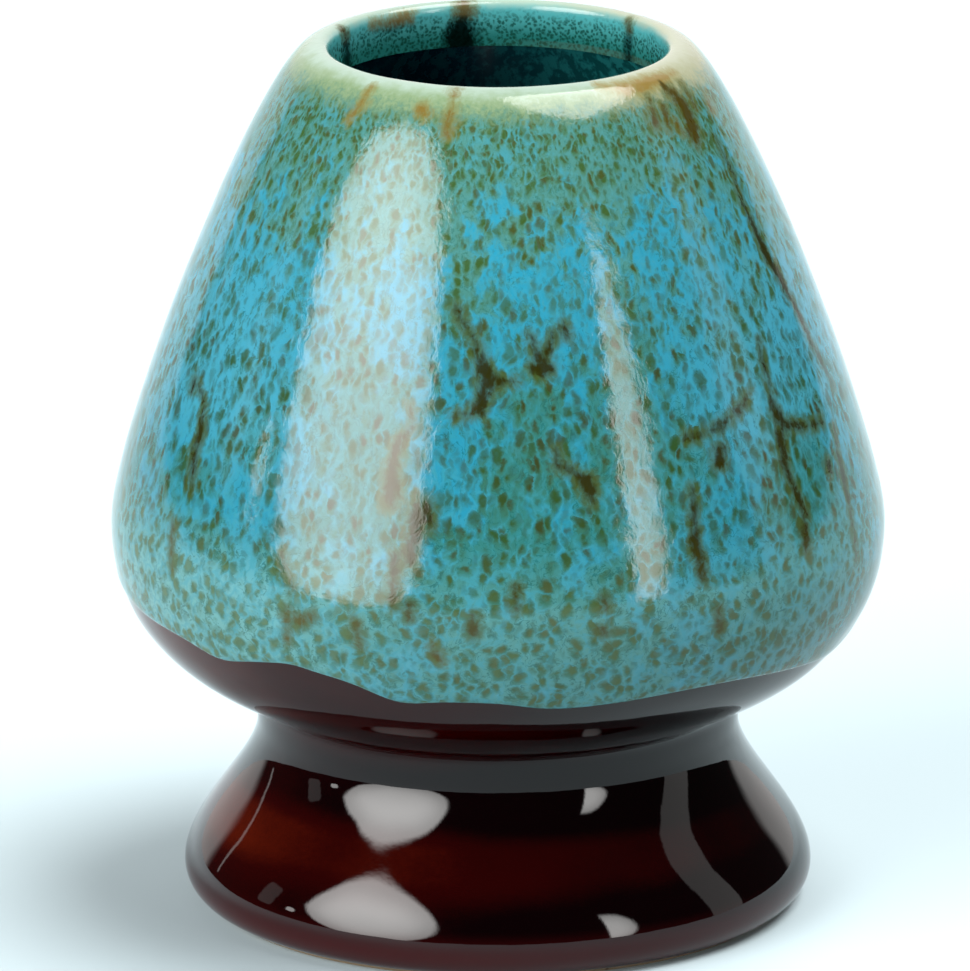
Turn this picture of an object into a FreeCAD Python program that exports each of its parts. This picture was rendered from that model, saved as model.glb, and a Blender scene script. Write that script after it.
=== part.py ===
import FreeCAD, Part
import math
import os
import re
import Sketcher

# A stand for drying a bamboo tea whisk: a glazed stoneware bell on a flared pedestal foot.
# Z is the axis of turning, the foot ring stands on z = 0, and lengths are in millimetres.
# The clay is turned to these sizes and the glaze lies over it. An angle is in degrees from level,
# and says how far up or down a surface faces. A fullness is how far a curve keeps its direction.
SIZES = {
    "height": 73.3,                 # foot ring to the crest of the bare lip
    "throat_radius": 14.3,          # bore of the mouth, before glazing
    "throat_depth": 3.6,            # crest to the collar's lower edge
    "lip_inner_round": 0.4,         # rounding from the crest into the throat
    "lip_outer_round": 2.5,         # rounding from the crest on to the shoulder
    "shoulder_angle": 48.0,         # the shoulder faces up this far below the lip
    "shoulder_fullness": 6.2,
    "belly_radius": 32.2,           # widest place of the bell
    "belly_height": 32.7,
    "belly_upper_fullness": 6.1,
    "belly_lower_fullness": 8.7,
    "underside_angle": 68.0,        # the underside faces down this far at the waist
    "underside_fullness": 6.2,
    "neck_radius": 20.0,            # upright waist between bell and foot
    "neck_round": 1.4,              # hollow rounding from the underside into the waist
    "neck_top_height": 17.0,
    "neck_bottom_height": 15.35,
    "luting_height": 16.6,          # plane where the bell is luted to the foot
    "flare_upper_fullness": 3.9,
    "flare_lower_fullness": 3.85,
    "foot_radius": 26.2,            # widest place of the foot
    "foot_widest_height": 2.85,
    "toe_round": 2.55,
    "toe_glaze_angle": 60.0,        # the toe faces down this far where its glaze ends
    "ring_radius": 24.2,            # bare ring that the foot stands on
    "ring_inner_radius": 21.2,
    "ring_bare_height": 1.6,        # bare band inside that ring
    "recess_height": 12.4,          # roof of the hollow below the foot
    "recess_roof_radius": 13.0,
    "recess_wall_fullness": 6.5,
    "recess_roof_fullness": 4.5,
    "bell_wall": 4.0,
    "chamber_angle": 32.0,          # the chamber widens this steeply below the throat
    "chamber_upper_fullness": 12.5,
    "chamber_floor": 4.2,           # clay between the luting plane and the chamber
    "chamber_floor_radius": 13.0,
    "chamber_floor_fullness": 8.0,
    "chamber_lower_fullness": 7.0,
    "glaze": 0.3,                   # every coat of glaze
    "hem_height": 26.0,             # mean height of the turquoise coat's lower edge
    "hem_wave": 1.1,                # height of that edge's longest wave
    "hem_overrun": 5.0,             # how far the surface that cuts the hem passes the clay
}

# The hem's waves: how many go round, height as a share of the longest, and phase in degrees.
HEM_WAVE_SHARES = ((1, 1.0, 180.0), (2, 0.65, 83.0), (3, 0.4, -171.0), (5, 0.5, 108.0), (7, 0.17, -49.0))
HEM_POINTS = 48

V = FreeCAD.Vector
PARTS_FOLDER = "parts"
AXIS = "0"


def fill_sheet(doc):
    """The spreadsheet of driving sizes, one aliased cell each."""
    sheet = doc.addObject("Spreadsheet::Sheet", "Sizes")
    for row, (name, value) in enumerate(SIZES.items(), start=1):
        sheet.set(f"A{row}", name)
        sheet.set(f"B{row}", str(value))
        sheet.setAlias(f"B{row}", name)
    doc.recompute()
    return sheet


def cells(expression):
    """The expression with each size's name turned into its cell."""
    def cell(word):
        return f"Sizes.{word[0]}" if word[0] in SIZES else word[0]
    return re.sub(r"[a-z_]+", cell, expression)


# Outlines: a point is a pair of expressions, its radius and its height, and an edge is its kind,
# its points from start to end, and an arc's radius.

def line(start, end):
    return ("line", (start, end), None)


def curve(start, leave, arrive, end):
    """A cubic edge: leave and arrive are the control points between its ends."""
    return ("curve", (start, leave, arrive, end), None)


def arc(start, centre, end, radius):
    """A round edge of under half a turn."""
    return ("arc", (start, centre, end), radius)


def backwards(edges):
    """The same edges, walked the other way."""
    return [(kind, points[::-1], radius) for kind, points, radius in reversed(edges)]


def end_of(edges):
    return edges[-1][1][-1]


def lip_edges(coat):
    """Collar's lower edge, up the throat, over the lip and down to the bell's widest place.
    The coat is the thickness that lies over the clay."""
    bore = f"throat_radius - {coat}"
    crest = "throat_radius + lip_inner_round"
    collar = (bore, "height - throat_depth")
    throat_top = (bore, "height - lip_inner_round")
    crest_top = (crest, f"height + {coat}")
    outer = f"(lip_outer_round + {coat})"
    outer_centre = (crest, "height - lip_outer_round")
    shoulder_top = (f"{crest} + {outer} * cos(shoulder_angle)",
                    f"height - lip_outer_round + {outer} * sin(shoulder_angle)")
    belly = f"belly_radius + {coat}"
    return [
        line(collar, throat_top),
        arc(throat_top, (crest, "height - lip_inner_round"), crest_top, f"lip_inner_round + {coat}"),
        arc(crest_top, outer_centre, shoulder_top, outer),
        curve(shoulder_top, down_slope(shoulder_top, "shoulder_angle", "shoulder_fullness"),
              (belly, "belly_height + belly_upper_fullness"), (belly, "belly_height")),
    ]


def down_slope(start, angle, fullness):
    """The control point that keeps a widening slope below its start."""
    return (f"{start[0]} + {fullness} * sin({angle})",
            f"{start[1]} - {fullness} * cos({angle})")


def underside_edges(coat):
    """The bell's widest place, round below it and into the waist."""
    belly = f"belly_radius + {coat}"
    hollow = f"(neck_round - {coat})"
    hollow_centre = ("neck_radius + neck_round", "neck_top_height")
    underside_end = (f"neck_radius + neck_round - {hollow} * cos(underside_angle)",
                     f"neck_top_height + {hollow} * sin(underside_angle)")
    arrive = (f"{underside_end[0]} + underside_fullness * sin(underside_angle)",
              f"{underside_end[1]} + underside_fullness * cos(underside_angle)")
    neck_top = (f"neck_radius + {coat}", "neck_top_height")
    return [
        curve((belly, "belly_height"), (belly, "belly_height - belly_lower_fullness"),
              arrive, underside_end),
        arc(underside_end, hollow_centre, neck_top, hollow),
    ]


def foot_edges(coat, neck_start):
    """The waist, down the flare and round the toe to where its glaze ends."""
    neck = f"neck_radius + {coat}"
    widest = f"foot_radius + {coat}"
    toe = f"(toe_round + {coat})"
    toe_centre = ("foot_radius - toe_round", "foot_widest_height")
    neck_bottom = (neck, "neck_bottom_height")
    glaze_end = (f"foot_radius - toe_round + {toe} * cos(toe_glaze_angle)",
                 f"foot_widest_height - {toe} * sin(toe_glaze_angle)")
    return [
        line(neck_start, neck_bottom),
        curve(neck_bottom, (neck, "neck_bottom_height - flare_upper_fullness"),
              (widest, "foot_widest_height + flare_lower_fullness"), (widest, "foot_widest_height")),
        arc((widest, "foot_widest_height"), toe_centre, glaze_end, toe),
    ]


def chamber_edges(coat):
    """Inside the bell, from the collar's lower edge down to the axis. The coat lies on the inside."""
    collar = (f"throat_radius - {coat}", "height - throat_depth")
    belly = f"belly_radius - bell_wall - {coat}"
    floor = f"luting_height + chamber_floor + {coat}"
    return [
        curve(collar, down_slope(collar, "chamber_angle", "chamber_upper_fullness"),
              (belly, "belly_height + belly_upper_fullness"), (belly, "belly_height")),
        curve((belly, "belly_height"), (belly, "belly_height - chamber_lower_fullness"),
              ("chamber_floor_radius + chamber_floor_fullness", floor), ("chamber_floor_radius", floor)),
        line(("chamber_floor_radius", floor), (AXIS, floor)),
    ]


def recess_edges(coat):
    """Inside the hollow foot, from the top of the bare band up to the axis."""
    wall = f"ring_inner_radius - {coat}"
    roof = f"recess_height - {coat}"
    band = (wall, "ring_bare_height")
    return [
        curve(band, (wall, "ring_bare_height + recess_wall_fullness"),
              ("recess_roof_radius + recess_roof_fullness", roof), ("recess_roof_radius", roof)),
        line(("recess_roof_radius", roof), (AXIS, roof)),
    ]


def bell_section():
    """The thrown wall: outside from the throat to the luting plane, and back by the chamber."""
    outside = lip_edges("0") + underside_edges("0")
    luting = ("neck_radius", "luting_height")
    inside = chamber_edges("0")
    return outside + [
        line(end_of(outside), luting),
        line(luting, (AXIS, "luting_height")),
        line((AXIS, "luting_height"), end_of(inside)),
    ] + backwards(inside)


def foot_section():
    """The foot's wall: outside from the luting plane to the bare ring, and back by the recess."""
    luting = ("neck_radius", "luting_height")
    outside = foot_edges("0", luting)
    ring_outer = ("ring_radius", "0")
    ring_inner = ("ring_inner_radius", "0")
    inside = recess_edges("0")
    band_top = inside[0][1][0]
    return outside + [
        line(end_of(outside), ring_outer),
        line(ring_outer, ring_inner),
        line(ring_inner, band_top),
    ] + inside + [
        line(end_of(inside), (AXIS, "luting_height")),
        line((AXIS, "luting_height"), luting),
    ]


def coat_section(edges_of):
    """A coat between the clay's face and the glaze's, both walked by edges_of. On the axis, or
    across the coat's cut edge, a straight line joins them."""
    clay = edges_of("0")
    face = edges_of("glaze")
    across_end = line(end_of(face), end_of(clay))
    across_start = line(clay[0][1][0], face[0][1][0])
    return face + [across_end] + backwards(clay) + [across_start]


def outside_edges(coat):
    """The whole outside, from the collar's lower edge to the toe."""
    bell = lip_edges(coat) + underside_edges(coat)
    return bell + foot_edges(coat, end_of(bell))


# Sketches and bodies.

class Drawing:
    """A closed outline drawn in a body's XZ plane, with every point and radius bound to the sheet."""

    def __init__(self, body, edges):
        self.sketch = body.newObject("Sketcher::SketchObject", body.Name + "_section")
        plane = next(item for item in body.Origin.OriginFeatures if item.Role == "XZ_Plane")
        self.sketch.AttachmentSupport = [(plane, "")]
        self.sketch.MapMode = "FlatFace"
        self.chain = [getattr(self, kind)(points, radius) for kind, points, radius in edges]
        for (before, _, leave), (after, enter, _) in zip(self.chain, self.chain[1:] + self.chain[:1]):
            self.sketch.addConstraint(Sketcher.Constraint("Coincident", before, leave, after, enter))
        for (edge, _, leave), (_, points, _) in zip(self.chain, edges):
            self.place(edge, leave, points[-1])

    def value(self, expression):
        return float(self.sketch.evalExpression(cells(expression)))

    def vector(self, point):
        return V(self.value(point[0]), self.value(point[1]), 0)

    def bind(self, constraint, expression):
        index = self.sketch.addConstraint(constraint)
        self.sketch.setExpression(f"Constraints[{index}]", cells(expression))

    def place(self, edge, end, point):
        """Tie one end of an edge, or a control point, to its place."""
        radius, height = point
        if radius == AXIS:
            self.sketch.addConstraint(Sketcher.Constraint("PointOnObject", edge, end, -2))
        else:
            self.bind(Sketcher.Constraint("DistanceX", -1, 1, edge, end, self.value(radius)), radius)
        if height == "0":
            self.sketch.addConstraint(Sketcher.Constraint("PointOnObject", edge, end, -1))
        else:
            self.bind(Sketcher.Constraint("DistanceY", -1, 1, edge, end, self.value(height)), height)

    def line(self, points, _):
        start, end = map(self.vector, points)
        return self.sketch.addGeometry(Part.LineSegment(start, end), False), 1, 2

    def curve(self, points, _):
        poles = [self.vector(point) for point in points]
        cubic = Part.BSplineCurve()
        cubic.buildFromPolesMultsKnots(poles, [4, 4], [0, 1], False, 3)
        edge = self.sketch.addGeometry(cubic, False)
        self.sketch.exposeInternalGeometry(edge)
        self.place(edge + 2, 3, points[1])
        self.place(edge + 3, 3, points[2])
        return edge, 1, 2

    def arc(self, points, radius):
        start, centre, end = map(self.vector, points)
        outward = (start - centre) + (end - centre)
        through = centre + outward.normalize() * self.value(radius)
        edge = self.sketch.addGeometry(Part.Arc(start, through, end), False)
        self.bind(Sketcher.Constraint("Radius", edge, self.value(radius)), radius)
        first = self.sketch.getPoint(edge, 1)
        turns_left = first.distanceToPoint(start) < first.distanceToPoint(end)
        return (edge, 1, 2) if turns_left else (edge, 2, 1)


def turned(doc, name, edges):
    """A body turned about the Z axis from a closed outline."""
    body = doc.addObject("PartDesign::Body", name)
    body.Label = name
    sketch = Drawing(body, edges).sketch
    turn = body.newObject("PartDesign::Revolution", name + "_turn")
    turn.Profile = (sketch, [""])
    turn.ReferenceAxis = (sketch, ["V_Axis"])
    turn.Angle = 360.0
    doc.recompute()
    return body


def hem_loop(doc, sheet, name, radius):
    """One closed wavy line round the axis, at the height where the turquoise coat ends."""
    points = []
    for step in range(HEM_POINTS):
        azimuth = 2 * math.pi * step / HEM_POINTS
        wave = sum(share * math.cos(count * azimuth - math.radians(phase))
                   for count, share, phase in HEM_WAVE_SHARES)
        height = sheet.hem_height + sheet.hem_wave * wave
        points.append(V(radius * math.cos(azimuth), radius * math.sin(azimuth), height))
    spline = Part.BSplineCurve()
    spline.interpolate(Points=points, PeriodicFlag=True)
    loop = doc.addObject("Part::Feature", name)
    loop.Shape = spline.toShape()
    return loop


def space_above_hem(doc, sheet):
    """Everything outside the bore and above the hem's wavy surface, to split the coat with."""
    surface = doc.addObject("Part::RuledSurface", "hem_surface")
    inner = hem_loop(doc, sheet, "hem_inner_line", sheet.throat_radius - sheet.hem_overrun)
    outer = hem_loop(doc, sheet, "hem_outer_line", sheet.belly_radius + sheet.hem_overrun)
    surface.Curve1 = (inner, ["Edge1"])
    surface.Curve2 = (outer, ["Edge1"])
    space = doc.addObject("Part::Extrusion", "above_hem")
    space.Base = surface
    space.DirMode = "Custom"
    space.Dir = V(0, 0, 1)
    space.setExpression("LengthFwd", cells("height"))
    doc.recompute()
    return space


def split_coat(doc, kind, name, coat, space):
    """The part of the outside coat above the hem (Part::Common) or below it (Part::Cut)."""
    piece = doc.addObject(kind, name)
    piece.Label = name
    piece.Base = coat
    piece.Tool = space
    doc.recompute()
    return piece


def check(doc, pieces):
    """Stop if anything in the document failed, or a piece isn't a sound solid."""
    for item in doc.Objects:
        if "Invalid" in item.State or "Error" in item.State:
            raise RuntimeError(f"{item.Name} is {item.State}")
    for piece in pieces:
        shape = piece.Shape
        if shape.isNull() or not shape.isValid() or not shape.Solids:
            raise RuntimeError(f"{piece.Label} has no sound solid")
        print(f"{piece.Label}: {len(shape.Solids)} solid, {shape.Volume / 1000:.2f} cm3")


def main():
    doc = FreeCAD.newDocument("whisk_stand")
    sheet = fill_sheet(doc)
    outside_coat = turned(doc, "outside_coat", coat_section(outside_edges))
    space = space_above_hem(doc, sheet)
    pieces = [
        turned(doc, "bell_body", bell_section()),
        turned(doc, "pedestal_foot", foot_section()),
        turned(doc, "chamber_glaze", coat_section(chamber_edges)),
        turned(doc, "recess_glaze", coat_section(recess_edges)),
        split_coat(doc, "Part::Common", "turquoise_glaze", outside_coat, space),
        split_coat(doc, "Part::Cut", "brown_glaze", outside_coat, space),
    ]
    doc.recompute()
    check(doc, pieces)
    os.makedirs(PARTS_FOLDER, exist_ok=True)
    for piece in pieces:
        piece.Shape.exportStep(os.path.join(PARTS_FOLDER, piece.Label + ".step"))


main()
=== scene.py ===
import math

import bpy
import numpy as np
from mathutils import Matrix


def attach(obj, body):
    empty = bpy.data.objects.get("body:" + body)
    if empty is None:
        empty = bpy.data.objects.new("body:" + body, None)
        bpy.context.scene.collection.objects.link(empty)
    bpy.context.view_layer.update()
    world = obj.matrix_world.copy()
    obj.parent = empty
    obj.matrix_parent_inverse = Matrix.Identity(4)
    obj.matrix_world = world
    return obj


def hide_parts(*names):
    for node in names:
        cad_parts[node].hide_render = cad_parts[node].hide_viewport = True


# A stand for a tea whisk: a bell of stoneware on a flared foot, under a mottled turquoise glaze
# that ends in a wavy hem over a dark red-brown one. Lengths are in millimetres until MM, and
# reach is the length along the outline from the lip's crest, downwards outside.

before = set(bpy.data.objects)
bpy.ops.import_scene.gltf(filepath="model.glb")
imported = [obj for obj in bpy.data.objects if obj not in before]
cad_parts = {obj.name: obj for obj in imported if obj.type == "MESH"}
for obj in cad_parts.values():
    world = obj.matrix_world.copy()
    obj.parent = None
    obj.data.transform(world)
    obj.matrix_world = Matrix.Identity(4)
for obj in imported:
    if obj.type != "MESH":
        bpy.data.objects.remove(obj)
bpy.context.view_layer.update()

MM = 0.001

# The glazed form's own sizes, as in the solids.
HEIGHT = 73.6
GLAZE = 0.3
THROAT_RADIUS = 14.0
THROAT_DEPTH = 3.9
LIP_INNER_ROUND = 0.7
LIP_OUTER_ROUND = 2.8
SHOULDER_ANGLE = math.radians(48)
SHOULDER_FULLNESS = 6.2
BELLY_RADIUS = 32.5
BELLY_HEIGHT = 32.7
BELLY_UPPER_FULLNESS = 6.1
BELLY_LOWER_FULLNESS = 8.7
UNDERSIDE_ANGLE = math.radians(68)
UNDERSIDE_FULLNESS = 6.2
NECK_RADIUS = 20.3
NECK_ROUND = 1.1
NECK_TOP_HEIGHT = 17.0
NECK_BOTTOM_HEIGHT = 15.35
FLARE_UPPER_FULLNESS = 3.9
FLARE_LOWER_FULLNESS = 3.85
FOOT_RADIUS = 26.5
FOOT_WIDEST_HEIGHT = 2.85
TOE_ROUND = 2.85
TOE_GLAZE_ANGLE = math.radians(60)
BELL_WALL = 4.3
CHAMBER_ANGLE = math.radians(32)
CHAMBER_UPPER_FULLNESS = 12.5
CHAMBER_FLOOR_HEIGHT = 21.1
CHAMBER_FLOOR_RADIUS = 13.0
CHAMBER_FLOOR_FULLNESS = 8.0
CHAMBER_LOWER_FULLNESS = 7.0
RING_INNER_RADIUS = 20.9
RING_BARE_HEIGHT = 1.6
RECESS_ROOF_HEIGHT = 12.1
RECESS_ROOF_RADIUS = 13.0
RECESS_WALL_FULLNESS = 6.5
RECESS_ROOF_FULLNESS = 4.5

HEM_HEIGHT = 26.0
HEM_WAVE = 1.1
# The hem's slow waves, as in the solids: how many around, share of HEM_WAVE, phase in degrees.
HEM_WAVE_SHARES = ((1, 1.0, 180.0), (2, 0.65, 83.0), (3, 0.4, -171.0), (5, 0.5, 108.0), (7, 0.17, -49.0))
# Short drips and notches that the slow waves leave out: azimuth in degrees, rise, half width in degrees.
# The first five are in front, where the photo shows them.
HEM_DRIPS = (
    (-137.2, -0.85, 4.5), (-105.4, -1.1, 4.2), (-122.5, 0.35, 3.0), (-89.7, 0.4, 4.0),
    (-60.0, -0.4, 16.0),
    (-18.0, -0.5, 5.0), (31.0, -0.6, 5.0), (78.0, 0.4, 5.0), (118.0, -0.7, 6.0), (163.0, -0.4, 5.0),
)

# Runs in the turquoise glaze: how rusty from 0 to 1, and the path as (azimuth in degrees, reach,
# half width). Those with a reach under 0 are in the throat.
RUNS = (
    (0.0, ((-98.0, 19.5, 0.13), (-96.6, 20.5, 0.17), (-94.2, 22.3, 0.21), (-92.9, 23.9, 0.42),
           (-92.0, 25.6, 0.67), (-92.6, 26.9, 0.5), (-93.2, 27.9, 0.42))),
    (0.0, ((-91.6, 25.6, 0.25), (-89.2, 25.4, 0.17), (-86.8, 25.6, 0.13))),
    (0.2, ((-92.6, 27.2, 0.34), (-94.7, 28.2, 0.34), (-97.3, 28.4, 0.17))),
    (0.0, ((-84.0, 21.6, 0.08), (-83.4, 22.8, 0.25), (-82.6, 24.1, 0.34))),
    (0.0, ((-78.3, 20.8, 0.08), (-80.0, 22.1, 0.25), (-81.4, 23.4, 0.25), (-82.1, 24.1, 0.34))),
    (0.0, ((-83.3, 24.4, 0.42), (-82.1, 24.6, 0.5), (-80.7, 24.6, 0.42))),
    (0.1, ((-77.4, 21.3, 0.34), (-77.3, 21.8, 0.25))),
    (0.1, ((-80.8, 31.1, 0.17), (-80.4, 32.5, 0.29), (-78.1, 33.0, 0.25), (-76.1, 33.9, 0.5),
           (-75.3, 35.3, 0.34))),
    (0.0, ((-152.8, 29.6, 0.34), (-152.4, 30.4, 0.25))),
    (0.1, ((-150.9, 29.9, 0.13), (-148.7, 30.4, 0.13), (-147.4, 31.3, 0.13), (-146.9, 32.5, 0.25),
           (-146.1, 33.7, 0.42), (-146.4, 34.8, 0.34), (-145.7, 36.3, 0.46), (-145.0, 38.0, 0.21))),
    (0.1, ((-147.7, 41.1, 0.13), (-147.2, 42.9, 0.25), (-146.3, 44.8, 0.17))),
    (0.0, ((-123.9, 41.1, 0.17), (-122.9, 42.4, 0.29), (-121.5, 43.7, 0.13))),
    (0.4, ((-104.9, 27.9, 0.13), (-104.5, 29.6, 0.17), (-106.7, 30.9, 0.25), (-107.1, 32.5, 0.42),
           (-107.1, 34.4, 0.59), (-107.0, 35.7, 0.5))),
    (0.3, ((-102.8, 34.8, 0.17), (-102.6, 36.1, 0.5), (-102.7, 37.4, 0.67), (-103.1, 39.4, 0.5),
           (-103.2, 40.3, 0.25))),
    (0.1, ((-101.1, 35.5, 0.42), (-100.9, 37.0, 0.5))),
    (0.2, ((-105.8, 40.1, 0.21), (-105.5, 41.8, 0.25), (-105.5, 44.2, 0.25))),
    (0.0, ((-103.0, 44.0, 0.25), (-102.9, 45.1, 0.25))),
    (0.3, ((-111.2, 45.5, 0.17), (-110.4, 47.8, 0.34))),
    (0.4, ((-99.4, 47.4, 0.25), (-98.5, 48.7, 0.34))),
    (0.2, ((-122.1, 45.8, 0.17), (-122.5, 48.2, 0.25))),
    (0.2, ((-119.9, 46.4, 0.34), (-117.7, 45.8, 0.34))),
    (0.0, ((-87.4, 42.3, 0.17), (-87.4, 44.0, 0.34))),
    (0.0, ((-93.8, 44.6, 0.25), (-93.8, 46.1, 0.38))),
    (0.1, ((-58.9, 40.3, 0.34), (-58.6, 42.9, 0.34))),
    (0.1, ((-56.1, 45.8, 0.21), (-56.0, 47.4, 0.29))),
    (0.0, ((-74.8, 46.1, 0.34), (-74.8, 46.4, 0.34))),
    (0.0, ((-74.4, 43.7, 0.34), (-74.5, 44.2, 0.34))),
    (0.0, ((-26.2, 8.1, 0.08), (-25.1, 11.3, 0.08), (-26.2, 14.0, 0.17), (-25.3, 16.2, 0.25),
           (-24.8, 18.7, 0.46), (-23.2, 20.3, 0.5), (-22.3, 21.6, 0.34), (-20.2, 24.4, 0.21),
           (-19.0, 27.2, 0.34), (-15.8, 31.6, 0.17))),
    (0.0, ((-36.4, 24.9, 0.08), (-36.8, 26.9, 0.13), (-37.4, 29.2, 0.25), (-37.5, 30.9, 0.67),
           (-35.9, 32.5, 0.5))),
    (0.1, ((-37.8, 33.0, 0.5), (-38.5, 35.3, 0.5), (-37.9, 37.4, 0.34), (-36.5, 39.5, 0.34),
           (-37.6, 42.7, 0.42))),
    (0.0, ((-35.7, 32.5, 0.34), (-31.8, 33.0, 0.34), (-24.8, 33.5, 0.25))),
    (0.1, ((-41.8, 28.7, 0.08), (-45.3, 29.9, 0.17), (-50.4, 30.9, 0.21), (-54.2, 31.3, 0.25),
           (-57.6, 31.3, 0.34))),
    (0.1, ((-51.8, 32.8, 0.59), (-52.2, 33.9, 0.5))),
    (0.1, ((-58.3, 35.5, 0.25), (-58.8, 38.0, 0.38), (-59.2, 40.1, 0.42))),
    (0.1, ((-21.1, 34.4, 0.13), (-22.7, 37.2, 0.21), (-23.1, 40.3, 0.25), (-23.8, 45.5, 0.13))),
    (0.0, ((-26.7, 37.0, 0.42), (-26.8, 37.4, 0.34))),
    (0.9, ((-129.4, 1.8, 0.05), (-130.0, 3.4, 0.15), (-131.6, 4.8, 0.2))),
    (0.8, ((-102.9, 0.8, 0.05), (-102.7, 2.6, 0.2), (-102.9, 5.0, 0.3))),
    (0.9, ((-111.0, 3.2, 0.42), (-109.6, 3.5, 0.34))),
    (1.0, ((-58.0, 1.0, 0.1), (-50.0, 1.9, 0.5), (-40.0, 1.9, 0.7), (-28.0, 1.8, 0.2))),
    (0.4, ((-36.5, 2.4, 0.4), (-34.4, 3.6, 0.55), (-33.2, 4.8, 0.7), (-33.5, 6.2, 0.75),
           (-34.2, 7.7, 0.5))),
    (0.45, ((-44.4, 3.4, 0.2), (-46.0, 5.4, 0.3))),
    (0.5, ((-41.0, 4.2, 0.1), (-42.0, 6.4, 0.15))),
    (0.5, ((-28.4, 3.0, 0.1), (-28.0, 5.2, 0.2))),
    (0.6, ((-38.8, 5.8, 0.25), (-38.7, 6.6, 0.25))),
    (0.6, ((-20.5, 5.4, 0.42), (-21.5, 6.0, 0.42))),
    (0.6, ((101.4, -0.2, 0.6), (101.9, -1.4, 0.7))),
    (0.0, ((102.1, -1.9, 0.5), (102.8, -3.1, 1.1), (102.8, -4.0, 1.3))),
    (0.4, ((155.6, -0.9, 0.42), (154.1, -2.2, 0.29), (153.4, -3.8, 0.25))),
    (0.4, ((39.0, -0.8, 0.17), (39.0, -5.0, 0.13))),
    (0.9, ((137.3, -1.3, 0.25), (129.8, -1.4, 0.42), (121.8, -1.2, 0.34))),
)

# Blue pools in the turquoise: azimuth in degrees, reach, half width and half height.
POOLS = (
    (-131.0, 19.0, 3.0, 8.0), (-86.0, 23.0, 5.0, 4.5), (-32.0, 24.0, 4.5, 8.0), (-145.0, 33.5, 4.0, 6.0),
    (-75.0, 33.5, 3.0, 5.0), (-128.0, 36.0, 4.0, 5.0), (-98.0, 32.0, 3.0, 3.0),
    (-20.0, 34.0, 3.5, 6.0), (-50.0, 27.5, 4.5, 5.5), (-60.0, 19.0, 5.0, 6.0), (-137.0, 28.0, 5.0, 6.0),
    (-108.0, 22.0, 2.5, 5.0), (-150.0, 17.0, 4.0, 7.0), (-60.0, 44.0, 4.0, 3.0),
)

# How finely the outlines and the meshes are divided.
CURVE_POINTS = 240
ARC_POINTS = 60
LINE_POINTS = 60
COLLAR_POINTS = 30
AROUND = 576
FINE_STEP = 0.4
INSIDE_STEP = 0.8
# Extra rows at a fine edge, as shares of one step.
EDGE_ROWS = np.array([0.06, 0.14, 0.26, 0.42, 0.66])

RIPPLE_WAVES = 26
# How far the glaze's face lies under the outline on average: outside, inside, and at the axis.
SUNK = 0.075
SUNK_INSIDE = 0.09
SUNK_AT_AXIS = 0.03
# The drops of the glaze keep their proportions as if the form were a cylinder of this radius.
DROP_RADIUS = 27.0
RUN_FIELD_LIMIT = 3.0


# Outlines: rows of (radius, height).

def cubic(start, leave, arrive, end):
    t = np.linspace(0, 1, CURVE_POINTS)[:, None]
    start, leave, arrive, end = map(np.array, (start, leave, arrive, end))
    return ((1 - t) ** 3 * start + 3 * (1 - t) ** 2 * t * leave
            + 3 * (1 - t) * t * t * arrive + t ** 3 * end)


def arc(centre, radius, first, last):
    """Angles are from the outward direction, upwards."""
    angle = np.linspace(first, last, ARC_POINTS)
    return np.stack([centre[0] + radius * np.cos(angle), centre[1] + radius * np.sin(angle)], 1)


def polar(length, angle):
    return np.array([length * math.cos(angle), length * math.sin(angle)])


def outside_outline():
    """The glaze's face from the collar's lower edge, over the lip and down to the toe."""
    crest = THROAT_RADIUS + LIP_INNER_ROUND
    lip_centre = np.array([crest, HEIGHT - LIP_OUTER_ROUND])
    shoulder = lip_centre + polar(LIP_OUTER_ROUND, SHOULDER_ANGLE)
    belly = (BELLY_RADIUS, BELLY_HEIGHT)
    neck_centre = np.array([NECK_RADIUS + NECK_ROUND, NECK_TOP_HEIGHT])
    underside = neck_centre + polar(NECK_ROUND, math.pi - UNDERSIDE_ANGLE)
    widest = (FOOT_RADIUS, FOOT_WIDEST_HEIGHT)
    neck = (NECK_RADIUS, NECK_BOTTOM_HEIGHT)
    return np.concatenate([
        np.linspace((THROAT_RADIUS, HEIGHT - THROAT_DEPTH), (THROAT_RADIUS, HEIGHT - LIP_INNER_ROUND),
                    COLLAR_POINTS),
        arc((crest, HEIGHT - LIP_INNER_ROUND), LIP_INNER_ROUND, math.pi, math.pi / 2),
        arc(lip_centre, LIP_OUTER_ROUND, math.pi / 2, SHOULDER_ANGLE),
        cubic(shoulder, shoulder + polar(SHOULDER_FULLNESS, SHOULDER_ANGLE - math.pi / 2),
              (BELLY_RADIUS, BELLY_HEIGHT + BELLY_UPPER_FULLNESS), belly),
        cubic(belly, (BELLY_RADIUS, BELLY_HEIGHT - BELLY_LOWER_FULLNESS),
              underside + polar(UNDERSIDE_FULLNESS, math.pi / 2 - UNDERSIDE_ANGLE), underside),
        arc(neck_centre, NECK_ROUND, math.pi - UNDERSIDE_ANGLE, math.pi),
        cubic(neck, (NECK_RADIUS, NECK_BOTTOM_HEIGHT - FLARE_UPPER_FULLNESS),
              (FOOT_RADIUS, FOOT_WIDEST_HEIGHT + FLARE_LOWER_FULLNESS), widest),
        arc((FOOT_RADIUS - TOE_ROUND, FOOT_WIDEST_HEIGHT), TOE_ROUND, 0, -TOE_GLAZE_ANGLE),
    ])


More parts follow.
